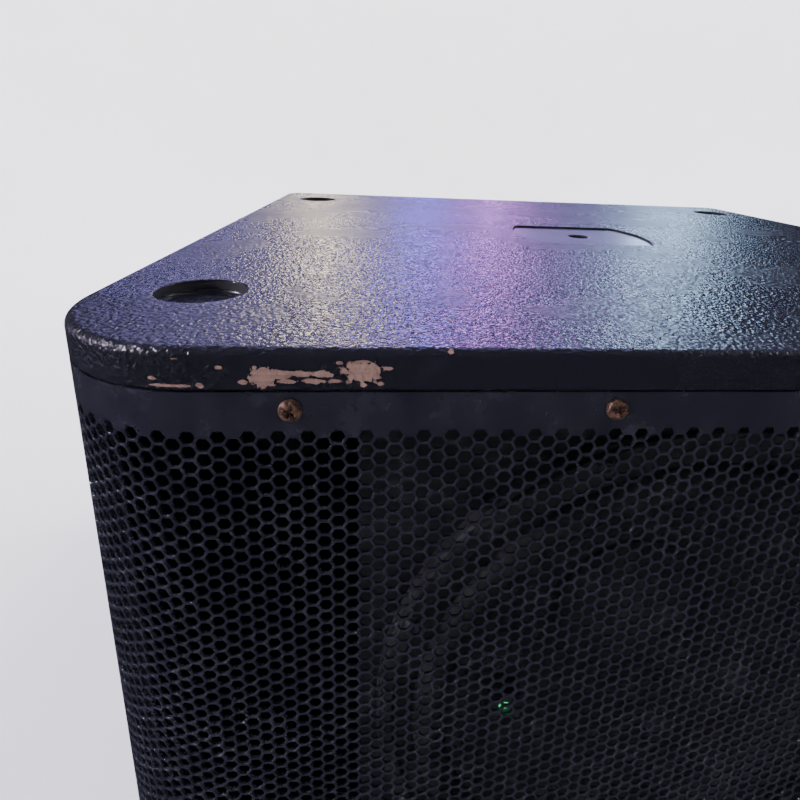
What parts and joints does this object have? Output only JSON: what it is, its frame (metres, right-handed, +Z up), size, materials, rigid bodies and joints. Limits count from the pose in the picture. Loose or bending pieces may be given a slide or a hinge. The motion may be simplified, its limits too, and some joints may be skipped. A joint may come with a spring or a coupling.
{
  "type": "line array speaker",
  "caption": "Powered line array bass cabinet: rounded-front plywood box, wrap-round perforated grille, stacking foot cups, pole socket, side handles and recessed rear amplifier.",
  "frame": {"origin": "centre of the footprint on the ground, under the feet", "axes": "+Z up, the grille faces -Y, the amplifier +Y, +X to the right seen from the front"},
  "size_m": [0.69, 0.66, 0.52],
  "materials": {
    "textured_paint": "coarse orange-peel textured semi-gloss black paint over birch plywood, chipped to bare wood at the front edge",
    "smooth_black_paint": "thin matt black paint over plywood, behind the grille",
    "bare_plywood": "unpainted birch plywood",
    "powder_coat": "fine black powder coat on perforated steel",
    "worn_screw": "black zinc pan head worn and rusted to brown steel",
    "rubber": "matt black moulded rubber",
    "foam_rubber": "soft matt black",
    "lead_jacket": "round black rubber jacket",
    "plate_coat": "smooth satin black coat on steel plate",
    "black_aluminium": "black anodised",
    "zinc_steel": "bright zinc plate",
    "ferrite": "dull dark grey ceramic",
    "cast_frame": "black painted casting",
    "paper_cone": "black treated paper pulp",
    "copper": "enamelled copper winding",
    "spider_cloth": "resin-treated woven cloth",
    "circuit_board": "green solder mask",
    "green_lens": "clear green lens",
    "black_plastic": "fine-grained black moulding"
  },
  "bodies": {
    "cabinet": {"amp_board": "circuit_board", "amp_cover": "zinc_steel", "amp_tray": "black_aluminium", "baffle": "smooth_black_paint", "bottom_grille_batten": "smooth_black_paint", "bottom_panel": "textured_paint", "front_left_foot": "rubber", "front_right_foot": "rubber", "grille": "powder_coat", "grille_screw_bottom_1": "worn_screw", "grille_screw_bottom_2": "worn_screw", "grille_screw_bottom_3": "worn_screw", "grille_screw_bottom_4": "worn_screw", "grille_screw_top_1": "worn_screw", "grille_screw_top_2": "worn_screw", "grille_screw_top_3": "worn_screw", "grille_screw_top_4": "worn_screw", "heatsink": "black_aluminium", "input_board": "circuit_board", "input_socket": "black_plastic", "left_handle_dish": "black_plastic", "left_handle_grip": "rubber", "left_port_wall": "smooth_black_paint", "left_side_panel": "textured_paint", "link_socket": "black_plastic", "magnet_ring": "ferrite", "magnet_top_plate": "zinc_steel", "magnet_yoke": "zinc_steel", "mains_inlet": "black_plastic", "pole_plate": "plate_coat", "pole_socket": "zinc_steel", "port_brace": "bare_plywood", "power_light_holder": "black_plastic", "power_light_lens": "green_lens", "power_supply_board": "circuit_board", "power_switch_housing": "black_plastic", "rear_left_foot": "rubber", "rear_panel": "textured_paint", "rear_right_foot": "rubber", "right_handle_dish": "black_plastic", "right_handle_grip": "rubber", "right_port_wall": "smooth_black_paint", "right_side_panel": "textured_paint", "spider": "spider_cloth", "surround": "rubber", "top_grille_batten": "smooth_black_paint", "top_panel": "textured_paint", "transformer": "copper", "woofer_basket": "cast_frame", "woofer_gasket": "foam_rubber", "woofer_lead": "lead_jacket", "woofer_terminals": "black_plastic"},
    "cone_assembly": {"cone": "paper_cone", "dust_cap": "paper_cone", "voice_coil": "copper"},
    "level_control": {"level_knob": "black_plastic"},
    "crossover_control": {"crossover_knob": "black_plastic"},
    "polarity_control": {"polarity_button": "black_plastic"},
    "power_control": {"power_rocker": "black_plastic"},
    "latch_control": {"input_latch": "zinc_steel"}
  },
  "joints": [
    {"name": "cone_travel", "type": "slide", "parent": "cabinet", "child": "cone_assembly", "axis": [0, -1, 0], "range_m": [-0.01, 0.01], "stiffness_N_per_m": 6000, "deforming": ["surround", "spider"]},
    {"name": "level_turn", "type": "hinge", "parent": "cabinet", "child": "level_control", "pos_m": [-0.05, 0.293, 0.345], "axis": [0, 1, 0], "range_deg": [-150, 150]},
    {"name": "crossover_turn", "type": "hinge", "parent": "cabinet", "child": "crossover_control", "pos_m": [-0.11, 0.293, 0.345], "axis": [0, 1, 0], "range_deg": [-150, 150]},
    {"name": "polarity_press", "type": "slide", "parent": "cabinet", "child": "polarity_control", "axis": [0, -1, 0], "range_m": [0, 0.003], "stiffness_N_per_m": 300},
    {"name": "power_rock", "type": "hinge", "parent": "cabinet", "child": "power_control", "pos_m": [-0.05, 0.286, 0.195], "axis": [1, 0, 0], "range_deg": [-16, 0]},
    {"name": "latch_press", "type": "slide", "parent": "cabinet", "child": "latch_control", "axis": [0, -1, 0], "range_m": [0, 0.0025], "stiffness_N_per_m": 300}
  ]
}
